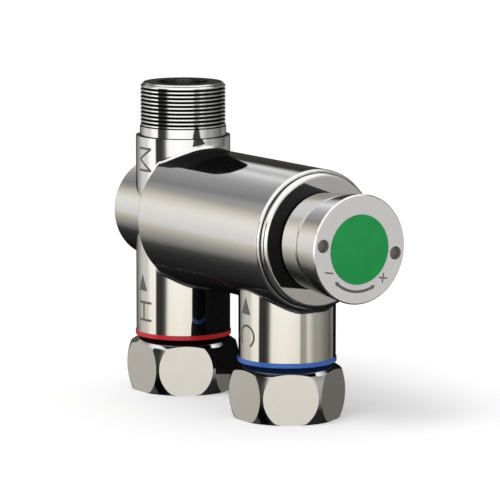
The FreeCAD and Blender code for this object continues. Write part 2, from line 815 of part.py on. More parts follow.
def knob_screw():
    # A socket screw that clamps the knob on the spindle's square
    shank_left = recess_floor - screw_length
    head_right = recess_floor + screw_head_height
    shank = screw_radius - running_gap
    screw = turned_x([(shank_left, 0), (shank_left, shank, edge_round), (recess_floor, shank),
                      (recess_floor, screw_head_radius), (head_right, screw_head_radius, edge_round),
                      (head_right, 0)])
    points = []
    for index in range(7):
        angle = math.radians(60 * index)
        across = screw_socket * math.cos(angle)
        points.append(Vector(head_right - screw_socket_depth, across, axis_height + screw_socket * math.sin(angle)))
    return screw.cut(Part.Face(Part.makePolygon(points)).extrude(Vector(screw_head_height, 0, 0)))


def knob_cap():
    # A domed plastic cap that snaps into the knob's recess over the screw
    edge = knob_front + cap_proud
    crown = edge + cap_crown
    inner = cap_radius - cap_wall
    ceiling = edge - cap_wall
    dome_radius = (cap_radius ** 2 + cap_crown ** 2) / (2 * cap_crown)
    half_way = cap_radius / 2
    half_x = crown - dome_radius + math.sqrt(dome_radius ** 2 - half_way ** 2)
    rim = on_barrel(edge, cap_radius)
    dome = Part.Arc(rim, on_barrel(half_x, half_way), on_barrel(crown, 0)).toShape()
    stops = [on_barrel(crown, 0), on_barrel(ceiling, 0), on_barrel(ceiling, inner),
             on_barrel(recess_floor, inner), on_barrel(recess_floor, cap_radius), rim]
    lines = [Part.LineSegment(a, b).toShape() for a, b in zip(stops, stops[1:])]
    return Part.Face(Part.Wire([dome] + lines)).revolve(Vector(0, 0, axis_height), X_AXIS, 360)


def pieces():
    # Every piece by its name
    made = {
        "valve_body": valve_body(),
        "bonnet": bonnet(),
        "bonnet_seal": bonnet_seal(),
        "cartridge_sleeve": cartridge_sleeve(),
        "shuttle": shuttle(),
        "shuttle_seal": shuttle_seal(),
        "cold_seat_ring": cold_seat_ring(),
        "wax_element": wax_element(),
        "wax_pin": wax_pin(),
        "thrust_cup": thrust_cup(),
        "snap_ring": snap_ring(),
        "regulating_nut": regulating_nut(),
        "return_spring": return_spring(),
        "overload_spring": overload_spring(),
        "spindle": spindle(),
        "spindle_seal": spindle_seal(),
        "circlip": circlip(),
        "temperature_knob": temperature_knob(),
        "knob_screw": knob_screw(),
        "knob_cap": knob_cap(),
    }
    for name, place in zip(("outlet_seal", "middle_seal", "cold_end_seal"), sleeve_seal_places()):
        made[name] = sleeve_seal(place)
    for side, centre in (("hot", 0.0), ("cold", inlet_spacing)):
        made[side + "_marker_ring"] = marker_ring(centre)
        made[side + "_union_nut"] = union_nut(centre)
        made[side + "_tailpiece"] = tailpiece(centre)
        made[side + "_gasket"] = gasket(centre)
        made[side + "_strainer"] = strainer(centre)
        made[side + "_check_housing"] = check_housing(centre)
        made[side + "_check_seal"] = check_seal(centre)
        made[side + "_poppet"] = poppet(centre)
        made[side + "_check_spring"] = check_spring(centre)
    return made


for name, shape in pieces().items():
    if not shape.isValid() or len(shape.Solids) != 1:
        print(name, "is not one valid solid")
    shape.exportStep("parts/" + name + ".step")
print("pieces written:", len(os.listdir("parts")))
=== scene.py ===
import math

import bmesh
import bpy
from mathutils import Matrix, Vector


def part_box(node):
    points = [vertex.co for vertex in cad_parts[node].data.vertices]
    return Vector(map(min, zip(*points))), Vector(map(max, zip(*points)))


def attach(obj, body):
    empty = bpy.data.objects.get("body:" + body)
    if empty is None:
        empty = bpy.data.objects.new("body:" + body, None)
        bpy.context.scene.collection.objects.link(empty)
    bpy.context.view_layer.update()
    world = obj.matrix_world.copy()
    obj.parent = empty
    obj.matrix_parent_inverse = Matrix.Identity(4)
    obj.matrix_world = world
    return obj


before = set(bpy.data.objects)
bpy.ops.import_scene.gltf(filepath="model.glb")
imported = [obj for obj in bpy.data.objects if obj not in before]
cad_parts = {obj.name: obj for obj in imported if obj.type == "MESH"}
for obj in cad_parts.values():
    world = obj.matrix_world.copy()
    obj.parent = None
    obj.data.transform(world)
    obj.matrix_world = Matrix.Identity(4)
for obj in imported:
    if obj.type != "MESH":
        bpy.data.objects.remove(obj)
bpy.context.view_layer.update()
mm = 0.001
print("frame loaded with", len(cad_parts), "nodes")


def middleOf(node):
    low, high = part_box(node)
    return (low + high) / 2


def halfWidth(node):
    low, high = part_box(node)
    return (high.y - low.y) / 2


# Places read from the frame, which the finishes and the marks share
barrelAxis = middleOf("knob_cap").z
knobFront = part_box("temperature_knob")[1].x
hotTube = middleOf("hot_marker_ring").x
coldTube = middleOf("cold_marker_ring").x
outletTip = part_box("valve_body")[1].z


# Camera, at the photograph's angle
photoCamera = {
    "turn": 56.42,       # degrees round the valve from its front
    "height": 8.49,      # degrees above the level
    "distance": 1.2155,
    "lens": 285.08,
    "sensorWidth": 36,
    "shift": (0.0494, -0.0262),
    "lookAt": (0.0246, -0.00057, 0.05061),
    "seesAsFar": 20,
}


def aim(turn, height):
    # The direction at this angle round from the X axis and this angle above the level
    return Vector((math.cos(turn) * math.cos(height), math.sin(turn) * math.cos(height), math.sin(height)))


def placeCamera():
    away = aim(math.radians(photoCamera["turn"] - 90), math.radians(photoCamera["height"]))
    data = bpy.data.cameras.new("photoCamera")
    data.lens = photoCamera["lens"]
    data.sensor_width = photoCamera["sensorWidth"]
    data.shift_x, data.shift_y = photoCamera["shift"]
    data.clip_end = photoCamera["seesAsFar"]
    camera = bpy.data.objects.new("photoCamera", data)
    camera.location = Vector(photoCamera["lookAt"]) + away * photoCamera["distance"]
    camera.rotation_euler = (-away).to_track_quat("-Z", "Y").to_euler()
    bpy.context.scene.collection.objects.link(camera)
    bpy.context.scene.camera = camera


placeCamera()
print("camera placed")


# Helpers for node trees

def newMaterial(name):
    material = bpy.data.materials.new(name)
    material.use_nodes = True
    return material, material.node_tree.nodes["Principled BSDF"]


def addNode(tree, kind, **settings):
    node = tree.nodes.new("ShaderNode" + kind)
    for name, value in settings.items():
        setattr(node, name, value)
    return node


def feed(tree, node, **sockets):
    # Gives an input a number, or joins it to an output; in names "_" stands for a space
    for name, value in sockets.items():
        numbered = name[0] == "i" and name[1:].isdigit()
        socket = node.inputs[int(name[1:]) if numbered else name.replace("_", " ")]
        if isinstance(value, bpy.types.NodeSocket):
            tree.links.new(value, socket)
        else:
            socket.default_value = value
    return node


def placeIn(tree):
    return addNode(tree, "TexCoord").outputs["Object"]


def maths(tree, operation, first, second=0.0):
    node = addNode(tree, "Math", operation=operation)
    return feed(tree, node, i0=first, i1=second).outputs[0]


def between(tree, value, low, high):
    # 1 where the value lies between the two limits, otherwise 0
    above = maths(tree, "GREATER_THAN", value, low)
    return maths(tree, "MULTIPLY", above, maths(tree, "LESS_THAN", value, high))


def ramp(tree, factor, stops):
    # stops are (place from 0 to 1, colour)
    node = addNode(tree, "ValToRGB")
    elements = node.color_ramp.elements
    while len(elements) < len(stops):
        elements.new(0.5)
    for element, (place, colour) in zip(elements, stops):
        element.position = place
        element.color = (*colour, 1)
    tree.links.new(factor, node.inputs["Fac"])
    return node.outputs["Color"]


def twoShades(tree, factor, dark, light):
    # Noise lies mostly between these two places
    return ramp(tree, factor, [(0.3, dark), (0.7, light)])


def startGroup(name, inputs, outputs):
    tree = bpy.data.node_groups.new(name, "ShaderNodeTree")
    for label, value in inputs.items():
        socket = tree.interface.new_socket(label, in_out="INPUT", socket_type="NodeSocketFloat")
        socket.default_value = value
    for label in outputs:
        tree.interface.new_socket(label, in_out="OUTPUT", socket_type="NodeSocketFloat")
    return tree, tree.nodes.new("NodeGroupInput").outputs, tree.nodes.new("NodeGroupOutput")


def useGroup(tree, group, **values):
    node = addNode(tree, "Group", node_tree=group)
    return feed(tree, node, **values).outputs


def bumpFrom(tree, height, depth, strength=1.0):
    node = addNode(tree, "Bump")
    return feed(tree, node, Height=height, Distance=depth, Strength=strength).outputs["Normal"]


# Studio: a floor, an even sky, one broad lamp, and a round tent that only polished metal mirrors

studio = {
    "skyLevel": 0.85,
    "lampLevel": 0.85,
    "lampWidth": 30,      # degrees
    "lampTurn": -50,      # degrees from the camera, to the image's left
    "lampHeight": 55,
    "tentRadius": 3.0,
    "tentSteps": (96, 48),
    "tentLevel": 1.25,
}

paperFloor = {
    "width": 40,
    "dark": (0.9504, 0.9504, 0.9504),
    "light": (0.96, 0.96, 0.96),
    "lift": 0.08,         # extra white, for the camera alone
    "specks": 900.0,      # in a metre
    "roughness": 0.9,
}

# What hangs in the tent, by degrees round from the camera towards the image's right, and how bright it is
tentSides = [
    (-180, 0.03), (-155, 0.10), (-132, 0.36), (-123, 0.52), (-113, 0.60), (-100, 0.62), (-88, 0.96),
    (-72.5, 0.98), (-69.5, 0.04), (-54, 0.035),                   # ends at a black card left of the camera
    (-48, 0.09), (-44, 0.25), (-40, 0.70), (-35, 0.95),
    (-10, 1.0), (20, 0.92), (28.5, 0.86),                         # the white wall behind the camera
    (32, 0.34), (44, 0.36), (48, 0.66), (55, 0.64), (63, 0.34),   # grey cloth with a paler fold on the right
    (78, 0.34), (88, 0.28), (97, 0.21), (110, 0.16), (119, 0.09), (126, 0.18), (140, 0.22), (180, 0.03),
]
# How bright the sides are by degrees of height, and how warm
tentHeights = [
    (-90, 0.05, 0.0), (-30, 0.06, 0.0), (-26, 0.10, 0.2), (-21, 0.38, 0.6), (-15, 0.62, 1.0),
    (-10.5, 0.84, 1.1), (-8.5, 0.95, 0.6), (-7, 1.0, 0.15), (0, 1.12, 0.4), (8, 1.22, 0.5),
    (12, 1.18, 0.8), (18, 0.92, 1.0), (24, 0.52, 1.2), (28, 0.35, 1.0), (90, 0.35, 0.0),
]
# The tent's roof by degrees round, which takes over from the sides between these two heights
tentRoof = [
    (-180, 0.08), (-175, 0.33), (-171, 0.65), (-165, 0.43), (-158, 0.65), (-150, 0.42), (-141, 0.29),
    (-126, 0.20), (-110, 0.50), (-90, 0.95), (60, 0.95), (90, 0.60), (120, 0.20), (180, 0.06),
]
roofStart, roofFull = 20, 26
skylightStart, skylightFull, skylightLevel = 40, 55, 0.95
warmthTakes = {"green": 0.05, "blue": 0.16}    # what full warmth takes from these two


def roundStops(sides):
    return [((turn + 180) / 360, (level, level, level)) for turn, level in sides]


def heightStops(heights, top):
    stops = []
    for height, level, warmth in heights:
        red = level / top
        green = red * (1 - warmthTakes["green"] * warmth)
        blue = red * (1 - warmthTakes["blue"] * warmth)
        stops.append(((height + 90) / 180, (red, green, blue)))
    return stops


def rise(tree, value, start, full):
    node = addNode(tree, "MapRange", interpolation_type="SMOOTHSTEP")
    return feed(tree, node, Value=value, From_Min=start, From_Max=full).outputs["Result"]


def shareOf(tree, value, limit):
    # From 0 at minus the limit to 1 at the limit
    node = feed(tree, addNode(tree, "MapRange"), Value=value, From_Min=-limit, From_Max=limit)
    return node.outputs["Result"]


def tentMaterial():
    material = newMaterial("tentCloth")[0]
    tree = material.node_tree
    tree.nodes.clear()
    outward = feed(tree, addNode(tree, "VectorMath", operation="NORMALIZE"), i0=placeIn(tree))
    parts = feed(tree, addNode(tree, "SeparateXYZ"), Vector=outward.outputs["Vector"]).outputs
    turn = maths(tree, "ARCTAN2", parts["Y"], parts["X"])
    turnShare = shareOf(tree, turn, math.pi)
    height = maths(tree, "MULTIPLY", maths(tree, "ARCSINE", parts["Z"]), 180 / math.pi)
    heightShare = shareOf(tree, height, 90)
    topLevel = max(level for turned, level, warmth in tentHeights)
    sides = ramp(tree, turnShare, roundStops(tentSides))
    byHeight = ramp(tree, heightShare, heightStops(tentHeights, topLevel))
    roof = ramp(tree, turnShare, roundStops(tentRoof))
    walls = addNode(tree, "Mix", data_type="RGBA", blend_type="MULTIPLY")
    feed(tree, walls, i0=1.0, i6=sides, i7=byHeight)
    lifted = addNode(tree, "VectorMath", operation="SCALE")
    feed(tree, lifted, Vector=walls.outputs[2], Scale=topLevel)
    roofed = addNode(tree, "Mix", data_type="RGBA")
    feed(tree, roofed, i0=rise(tree, height, roofStart, roofFull), i6=lifted.outputs["Vector"], i7=roof)
    whole = addNode(tree, "Mix", data_type="RGBA")
    overhead = (skylightLevel, skylightLevel, skylightLevel, 1)
    feed(tree, whole, i0=rise(tree, height, skylightStart, skylightFull), i6=roofed.outputs[2], i7=overhead)
    glow = feed(tree, addNode(tree, "Emission"), Color=whole.outputs[2], Strength=studio["tentLevel"])
    surface = addNode(tree, "OutputMaterial")
    tree.links.new(glow.outputs["Emission"], surface.inputs["Surface"])
    material.cycles.emission_sampling = "NONE"
    return material


def meshObject(name, shape, material):
    mesh = bpy.data.meshes.new(name)
    shape.to_mesh(mesh)
    shape.free()
    mesh.materials.append(material)
    made = bpy.data.objects.new(name, mesh)
    bpy.context.scene.collection.objects.link(made)
    return made


def showInMirrorsOnly(thing):
    thing.visible_camera = False
    thing.visible_diffuse = False
    thing.visible_transmission = False
    thing.visible_volume_scatter = False
    thing.visible_shadow = False


def buildTent():
    around, up = studio["tentSteps"]
    shape = bmesh.new()
    bmesh.ops.create_uvsphere(shape, u_segments=around, v_segments=up, radius=studio["tentRadius"])
    tent = meshObject("tent", shape, tentMaterial())
    tent.location = photoCamera["lookAt"]
    tent.rotation_euler.z = math.radians(photoCamera["turn"] - 90)    # its own X points at the camera
    showInMirrorsOnly(tent)


# A black card behind the hot tube, which only polished metal mirrors
backCard = {
    "behind": 36 * mm,       # from the plane of the tubes
    "near": 17.5 * mm,       # just clear of the cold nut
    "left": -28 * mm,
    "right": 62 * mm,
    "height": 43 * mm,
    "dark": (0.011, 0.011, 0.011),
    "light": (0.014, 0.014, 0.014),
    "specks": 400.0,         # in a metre
}


def buildBackCard():
    material, shader = newMaterial("blackCard")
    tree = material.node_tree
    speck = feed(tree, addNode(tree, "TexNoise"), Vector=placeIn(tree), Scale=backCard["specks"])
    shades = twoShades(tree, speck.outputs["Fac"], backCard["dark"], backCard["light"])
    feed(tree, shader, Base_Color=shades, Roughness=1.0, Specular_IOR_Level=0.0)
    shape = bmesh.new()
    corners = [(backCard["right"], backCard["near"]), (backCard["right"], backCard["behind"]),
               (backCard["left"], backCard["behind"])]
    low = [shape.verts.new((x, y, 0)) for x, y in corners]
    high = [shape.verts.new((x, y, backCard["height"])) for x, y in corners]
    for first in range(2):
        shape.faces.new([low[first], low[first + 1], high[first + 1], high[first]])
    card = meshObject("backCard", shape, material)
    showInMirrorsOnly(card)


def floorMaterial():
    material, shader = newMaterial("paperFloor")
    tree = material.node_tree
    speck = feed(tree, addNode(tree, "TexNoise"), Vector=placeIn(tree), Scale=paperFloor["specks"])
    shades = twoShades(tree, speck.outputs["Fac"], paperFloor["dark"], paperFloor["light"])
    camera = addNode(tree, "LightPath").outputs["Is Camera Ray"]
    feed(tree, shader, Base_Color=shades, Roughness=paperFloor["roughness"], Emission_Color=(1, 1, 1, 1),
         Emission_Strength=maths(tree, "MULTIPLY", camera, paperFloor["lift"]))
    return material


def buildFloor():
    shape = bmesh.new()
    bmesh.ops.create_grid(shape, x_segments=1, y_segments=1, size=paperFloor["width"] / 2)
    floor = meshObject("floor", shape, floorMaterial())
    floor.visible_glossy = False


def buildSky():
    world = bpy.data.worlds.new("studioSky")
    bpy.context.scene.world = world
    world.use_nodes = True
    tree = world.node_tree
    back = tree.nodes["Background"]
    path = addNode(tree, "LightPath").outputs
    seen = maths(tree, "MAXIMUM", path["Is Camera Ray"], path["Is Glossy Ray"])
    seen = maths(tree, "MAXIMUM", seen, path["Is Transmission Ray"])
    strength = feed(tree, addNode(tree, "MapRange"), Value=seen, To_Min=studio["skyLevel"], To_Max=1.0)
    feed(tree, back, Color=(1, 1, 1, 1), Strength=strength.outputs["Result"])


def buildLamp():
    data = bpy.data.lights.new("broadLamp", "SUN")
    data.energy = studio["lampLevel"]
    data.angle = math.radians(studio["lampWidth"])
    lamp = bpy.data.objects.new("broadLamp", data)
    turn = math.radians(photoCamera["turn"] - 90 + studio["lampTurn"])
    lightFrom = aim(turn, math.radians(studio["lampHeight"]))
    lamp.rotation_euler = (-lightFrom).to_track_quat("-Z", "Y").to_euler()
    lamp.visible_glossy = False
    bpy.context.scene.collection.objects.link(lamp)


buildTent()
buildBackCard()
buildFloor()
buildSky()
buildLamp()
print("studio built")


# Effects that several finishes share

def polishGroup():
    # Uneven polish: slow clouds in the roughness, and the long ripple that buffing leaves
    inputs = {"polish": 0.05, "spread": 0.02, "cloudSize": 12 * mm, "rippleSize": 9 * mm}
    tree, given, out = startGroup("buffing", inputs, ["roughness", "ripple"])
    place = placeIn(tree)
    clouds = addNode(tree, "TexNoise")
    feed(tree, clouds, Vector=place, Scale=maths(tree, "DIVIDE", 1.0, given["cloudSize"]), Detail=3.0)
    swing = maths(tree, "MULTIPLY", maths(tree, "SUBTRACT", clouds.outputs["Fac"], 0.5), given["spread"])
    ripples = addNode(tree, "TexNoise")
    feed(tree, ripples, Vector=place, Scale=maths(tree, "DIVIDE", 1.0, given["rippleSize"]), Detail=0.0)
    feed(tree, out, roughness=maths(tree, "ADD", given["polish"], swing), ripple=ripples.outputs["Fac"])
    return tree


def latheGroup():
    # Fine rings left by a turning tool about the barrel's axis, on ends and sides alike
    tree, given, out = startGroup("turning", {"ringWidth": 0.3 * mm}, ["rings", "across"])
    parts = feed(tree, addNode(tree, "SeparateXYZ"), Vector=placeIn(tree)).outputs
    fromAxis = maths(tree, "SUBTRACT", parts["Z"], barrelAxis)
    across = maths(tree, "SQRT", maths(tree, "ADD", maths(tree, "POWER", parts["Y"], 2.0),
                                       maths(tree, "POWER", fromAxis, 2.0)))
    along = maths(tree, "ADD", across, parts["X"])
    rings = addNode(tree, "TexNoise", noise_dimensions="1D")
    feed(tree, rings, W=maths(tree, "DIVIDE", along, given["ringWidth"]), Scale=1.0, Detail=2.0)
    feed(tree, out, rings=rings.outputs["Fac"], across=across)
    return tree


def grainGroup():
    # Grain of moulded or pressed stuff: a fine height and a slow shade
    inputs = {"grainSize": 0.4 * mm, "cloudSize": 6 * mm}
    tree, given, out = startGroup("mouldGrain", inputs, ["grain", "cloud"])
    place = placeIn(tree)
    fine = addNode(tree, "TexNoise")
    feed(tree, fine, Vector=place, Scale=maths(tree, "DIVIDE", 1.0, given["grainSize"]), Detail=2.0)
    slow = addNode(tree, "TexNoise")
    feed(tree, slow, Vector=place, Scale=maths(tree, "DIVIDE", 1.0, given["cloudSize"]), Detail=3.0)
    feed(tree, out, grain=fine.outputs["Fac"], cloud=slow.outputs["Fac"])
    return tree


polishing = polishGroup()
turning = latheGroup()
moulding = grainGroup()


# Finishes

def mixColour(tree, mask, first, second):
    node = addNode(tree, "Mix", data_type="RGBA")
    return feed(tree, node, i0=mask, i6=first, i7=second).outputs[2]


def mixNumber(tree, mask, first, second):
    return feed(tree, addNode(tree, "Mix"), i0=mask, i2=first, i3=second).outputs[0]


def shadeBy(tree, cloud, colour, spread):
    dark = tuple(channel * (1 - spread) for channel in colour)
    light = tuple(min(1, channel * (1 + spread)) for channel in colour)
    return twoShades(tree, cloud, dark, light)


chromeLook = {
    "colour": (0.80, 0.80, 0.795),
    "nutColour": (0.70, 0.705, 0.715),
    "colourSpread": 0.015,
    "cloudSize": 4 * mm,
    "polish": 0.045,
    "spread": 0.03,
    "rippleDepth": 0.006 * mm,
    "boreColour": (0.42, 0.42, 0.42),   # plate inside the outlet
    "boreSpread": 0.5,
    "boreGrain": 0.3 * mm,
    "boreRoughness": 0.22,
    "boreRadius": 9 * mm,
    "boreStart": 0.1 * mm,              # below the outlet's tip
    "boreEnd": 28 * mm,
}

# Painted reflection: where another mirror sees chrome, it shows one of these colours in place of its own,
# near black for most pieces, and only the bonnet stays light
darkReflectionPaint = {"colour": (0.035, 0.035, 0.037), "roughness": 0.9}
lightReflectionPaint = {"colour": (0.58, 0.58, 0.57), "roughness": 0.10}


# Painted reflection: glossy rays see the reflection paint's colour in place of the surface's own
def paintedReflectionColour(tree, colour, reflectionPaint):
    glossy = addNode(tree, "LightPath").outputs["Is Glossy Ray"]
    return mixColour(tree, glossy, colour, (*reflectionPaint["colour"], 1))


def roughnessInMirror(tree, roughness, reflectionPaint):
    glossy = addNode(tree, "LightPath").outputs["Is Glossy Ray"]
    return mixNumber(tree, glossy, roughness, reflectionPaint["roughness"])


def chromeFinish(name, reflectionPaint, colour=chromeLook["colour"]):
    material, shader = newMaterial(name)
    tree = material.node_tree
    buff = useGroup(tree, polishing, polish=chromeLook["polish"], spread=chromeLook["spread"])
    parts = feed(tree, addNode(tree, "SeparateXYZ"), Vector=placeIn(tree)).outputs
    tubeReach = maths(tree, "SQRT", maths(tree, "ADD", maths(tree, "POWER", parts["X"], 2.0),
                                          maths(tree, "POWER", parts["Y"], 2.0)))
    inside = maths(tree, "MULTIPLY", maths(tree, "LESS_THAN", tubeReach, chromeLook["boreRadius"]),
                   between(tree, parts["Z"], outletTip - chromeLook["boreEnd"],
                           outletTip - chromeLook["boreStart"]))
    clouds = useGroup(tree, moulding, grainSize=chromeLook["boreGrain"], cloudSize=chromeLook["cloudSize"])
    outerColour = shadeBy(tree, clouds["cloud"], colour, chromeLook["colourSpread"])
    boreColour = shadeBy(tree, clouds["grain"], chromeLook["boreColour"], chromeLook["boreSpread"])
    shades = mixColour(tree, inside, outerColour, boreColour)
    roughness = mixNumber(tree, inside, buff["roughness"], chromeLook["boreRoughness"])
    # The chrome's colour carries a painted reflection: other mirrors see it in the reflection paint's colour
    feed(tree, shader, Base_Color=paintedReflectionColour(tree, shades, reflectionPaint), Metallic=1.0,
         Roughness=roughnessInMirror(tree, roughness, reflectionPaint),
         Normal=bumpFrom(tree, buff["ripple"], chromeLook["rippleDepth"]))
    return material


knobLook = {
    "sideColour": (0.86, 0.86, 0.855),
    "polish": 0.05,
    "spread": 0.03,
    "faceColour": (0.68, 0.665, 0.655),
    "faceMetal": 0.3,
    "faceRoughness": 0.42,
    "faceDepth": 0.05 * mm,
    # painted shade in the pin holes
    "holeShade": (0.24, 0.225, 0.215),
    "holeFrom": 2.1 * mm,
    "holeInner": 10.8 * mm,
    "holeOuter": 15.4 * mm,
    "holeRoughness": 0.6,
    "ringWidth": 0.12 * mm,
    "ringShade": 0.03,
    "ringDepth": 0.002 * mm,
}


def knobFinish():
    material, shader = newMaterial("satinChrome")
    tree = material.node_tree
    buff = useGroup(tree, polishing, polish=knobLook["polish"], spread=knobLook["spread"])
    lathe = useGroup(tree, turning, ringWidth=knobLook["ringWidth"])
    x = feed(tree, addNode(tree, "SeparateXYZ"), Vector=placeIn(tree)).outputs["X"]
    face = maths(tree, "GREATER_THAN", x, knobFront - knobLook["faceDepth"])
    # Painted shade: the pin holes' walls and floors take a dark matte grey in place of the chrome
    deep = between(tree, x, knobFront - knobLook["holeFrom"], knobFront - knobLook["faceDepth"])
    ring = between(tree, lathe["across"], knobLook["holeInner"], knobLook["holeOuter"])
    hole = maths(tree, "MULTIPLY", deep, ring)
    faceColour = shadeBy(tree, lathe["rings"], knobLook["faceColour"], knobLook["ringShade"])
    # Painted reflection: the knob's polished side shows near black where other chrome mirrors it
    sideColour = paintedReflectionColour(tree, (*knobLook["sideColour"], 1), darkReflectionPaint)
    sideRoughness = roughnessInMirror(tree, buff["roughness"], darkReflectionPaint)
    colour = mixColour(tree, face, sideColour, faceColour)
    roughness = mixNumber(tree, face, sideRoughness, knobLook["faceRoughness"])
    metal = mixNumber(tree, face, 1.0, knobLook["faceMetal"])
    height = maths(tree, "MULTIPLY", lathe["rings"], face)
    feed(tree, shader, Base_Color=mixColour(tree, hole, colour, (*knobLook["holeShade"], 1)),
         Metallic=mixNumber(tree, hole, metal, 0.0),
         Roughness=mixNumber(tree, hole, roughness, knobLook["holeRoughness"]),
         Normal=bumpFrom(tree, height, knobLook["ringDepth"]))
    return material


turnedLook = {
    "spread": 0.12,
    "ringWidth": 0.25 * mm,
    "ringShade": 0.08,
    "ringDepth": 0.006 * mm,
}


def turnedMetal(name, colour, roughness):
    # Metal as it comes off the lathe
    material, shader = newMaterial(name)
    tree = material.node_tree
    lathe = useGroup(tree, turning, ringWidth=turnedLook["ringWidth"])
    buff = useGroup(tree, polishing, polish=roughness, spread=turnedLook["spread"])
    feed(tree, shader, Base_Color=shadeBy(tree, lathe["rings"], colour, turnedLook["ringShade"]),
         Metallic=1.0, Roughness=buff["roughness"],
         Normal=bumpFrom(tree, lathe["rings"], turnedLook["ringDepth"]))
    return material


wireLook = {
    "polish": 0.24,
    "spread": 0.15,
    "polishClouds": 2 * mm,
    "colourClouds": 1.5 * mm,
    "colourSpread": 0.10,
    "grainSize": 0.1 * mm,
    "grainDepth": 0.004 * mm,
}


def drawnWire(name, colour):
    material, shader = newMaterial(name)
    tree = material.node_tree
    buff = useGroup(tree, polishing, polish=wireLook["polish"], spread=wireLook["spread"],
                    cloudSize=wireLook["polishClouds"])
    clouds = useGroup(tree, moulding, grainSize=wireLook["grainSize"], cloudSize=wireLook["colourClouds"])
    feed(tree, shader, Base_Color=shadeBy(tree, clouds["cloud"], colour, wireLook["colourSpread"]),
         Metallic=1.0, Roughness=buff["roughness"],
         Normal=bumpFrom(tree, clouds["grain"], wireLook["grainDepth"]))
    return material


mouldedLook = {
    "cloudSize": 5 * mm,
    "spread": 0.08,      # of the roughness
}


def mouldedStuff(name, colour, roughness, grainSize, grainDepth, spread, reflectionPaint=None, gloss=0.5):
    # Plastic, rubber or fibre: colour clouds, uneven gloss and a pressed grain
    material, shader = newMaterial(name)
    tree = material.node_tree
    clouds = useGroup(tree, moulding, grainSize=grainSize, cloudSize=mouldedLook["cloudSize"])
    buff = useGroup(tree, polishing, polish=roughness, spread=mouldedLook["spread"])
    shades = shadeBy(tree, clouds["cloud"], colour, spread)
    # Painted reflection: where given, other chrome mirrors this colour as the darker reflection paint
    if reflectionPaint:
        shades = paintedReflectionColour(tree, shades, {"colour": reflectionPaint})
    feed(tree, shader, Base_Color=shades, Roughness=buff["roughness"], Specular_IOR_Level=gloss,
         Normal=bumpFrom(tree, clouds["grain"], grainDepth))
    return material


finishes = {
    "chrome_plate": chromeFinish("chromePlate", darkReflectionPaint),
    "satin_chrome": knobFinish(),
    "nickel_plate": turnedMetal("nickelPlate", (0.62, 0.58, 0.50), 0.28),
    "bare_brass": turnedMetal("bareBrass", (0.72, 0.52, 0.25), 0.30),
    "copper": turnedMetal("drawnCopper", (0.72, 0.40, 0.27), 0.32),
    "spring_steel": drawnWire("springSteel", (0.58, 0.58, 0.60)),
    "white_resin": mouldedStuff("whiteResin", (0.80, 0.80, 0.76), 0.38, 0.25 * mm, 0.006 * mm, 0.03),
    "black_rubber": mouldedStuff("blackRubber", (0.022, 0.022, 0.024), 0.5, 0.2 * mm, 0.008 * mm, 0.15),
    "fibre": mouldedStuff("fibreGasket", (0.07, 0.08, 0.09), 0.7, 0.15 * mm, 0.02 * mm, 0.25),
    # The marker rings carry a darker painted reflection, which other chrome shows
    "hot_red": mouldedStuff("redRing", (0.49, 0.009, 0.020), 0.30, 0.3 * mm, 0.003 * mm, 0.05,
                            reflectionPaint=(0.03, 0.001, 0.002)),
    "cold_blue": mouldedStuff("blueRing", (0.030, 0.115, 0.41), 0.30, 0.3 * mm, 0.003 * mm, 0.05,
                              reflectionPaint=(0.008, 0.03, 0.12)),
    "green_plastic": mouldedStuff("greenCap", (0.005, 0.26, 0.058), 0.22, 0.5 * mm, 0.002 * mm, 0.04,
                                  gloss=0.35),
}

# Which pieces have which finish
finishOf = {
    "chrome_plate": ["valve_body", "bonnet", "hot_union_nut", "cold_union_nut"],
    "satin_chrome": ["temperature_knob"],
    "nickel_plate": ["hot_tailpiece", "cold_tailpiece", "spindle"],
    "bare_brass": ["cartridge_sleeve", "cold_seat_ring", "regulating_nut", "shuttle"],
    "copper": ["wax_element"],
    "spring_steel": ["return_spring", "overload_spring", "hot_check_spring", "cold_check_spring",
                     "snap_ring", "circlip", "knob_screw", "wax_pin", "thrust_cup", "hot_strainer",
                     "cold_strainer"],
    "white_resin": ["hot_check_housing", "cold_check_housing", "hot_poppet", "cold_poppet"],
    "black_rubber": ["outlet_seal", "middle_seal", "cold_end_seal", "shuttle_seal", "spindle_seal",
                     "bonnet_seal", "hot_check_seal", "cold_check_seal"],
    "fibre": ["hot_gasket", "cold_gasket"],
    "hot_red": ["hot_marker_ring"],
    "cold_blue": ["cold_marker_ring"],
    "green_plastic": ["knob_cap"],
}


def giveFinish(piece, slotName):
    piece.data.materials.clear()
    piece.data.materials.append(finishes[slotName])


for slotName, names in finishOf.items():
    for name in names:
        giveFinish(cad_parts[name], slotName)

# The flange and the nuts are chrome too: the flange keeps the plate's colour with a light painted
# reflection, and the nuts have their own tone with the near-black painted reflection
ownChrome = {
    "bonnet": chromeFinish("flangeChrome", lightReflectionPaint),
    "hot_union_nut": chromeFinish("nutChrome", darkReflectionPaint, chromeLook["nutColour"]),
}
ownChrome["cold_union_nut"] = ownChrome["hot_union_nut"]
for name, chrome in ownChrome.items():
    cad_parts[name].data.materials[0] = chrome
undressed = set(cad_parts) - {name for names in finishOf.values() for name in names}
print("finishes given, pieces without one:", sorted(undressed))


# Marks, thin plates of dark paint

paintLook = {
    "colour": (0.10, 0.10, 0.10),
    "colourSpread": 0.12,
    "cloudSize": 1 * mm,
    "roughness": 0.6,
    "grainSize": 0.1 * mm,
    "grainDepth": 0.003 * mm,
}


def paintFinish():
    material, shader = newMaterial("darkPaint")
    tree = material.node_tree
    clouds = useGroup(tree, moulding, grainSize=paintLook["grainSize"], cloudSize=paintLook["cloudSize"])
    shades = shadeBy(tree, clouds["cloud"], paintLook["colour"], paintLook["colourSpread"])
    feed(tree, shader, Base_Color=shades, Roughness=paintLook["roughness"],
         Normal=bumpFrom(tree, clouds["grain"], paintLook["grainDepth"]))
    return material


darkPaint = paintFinish()


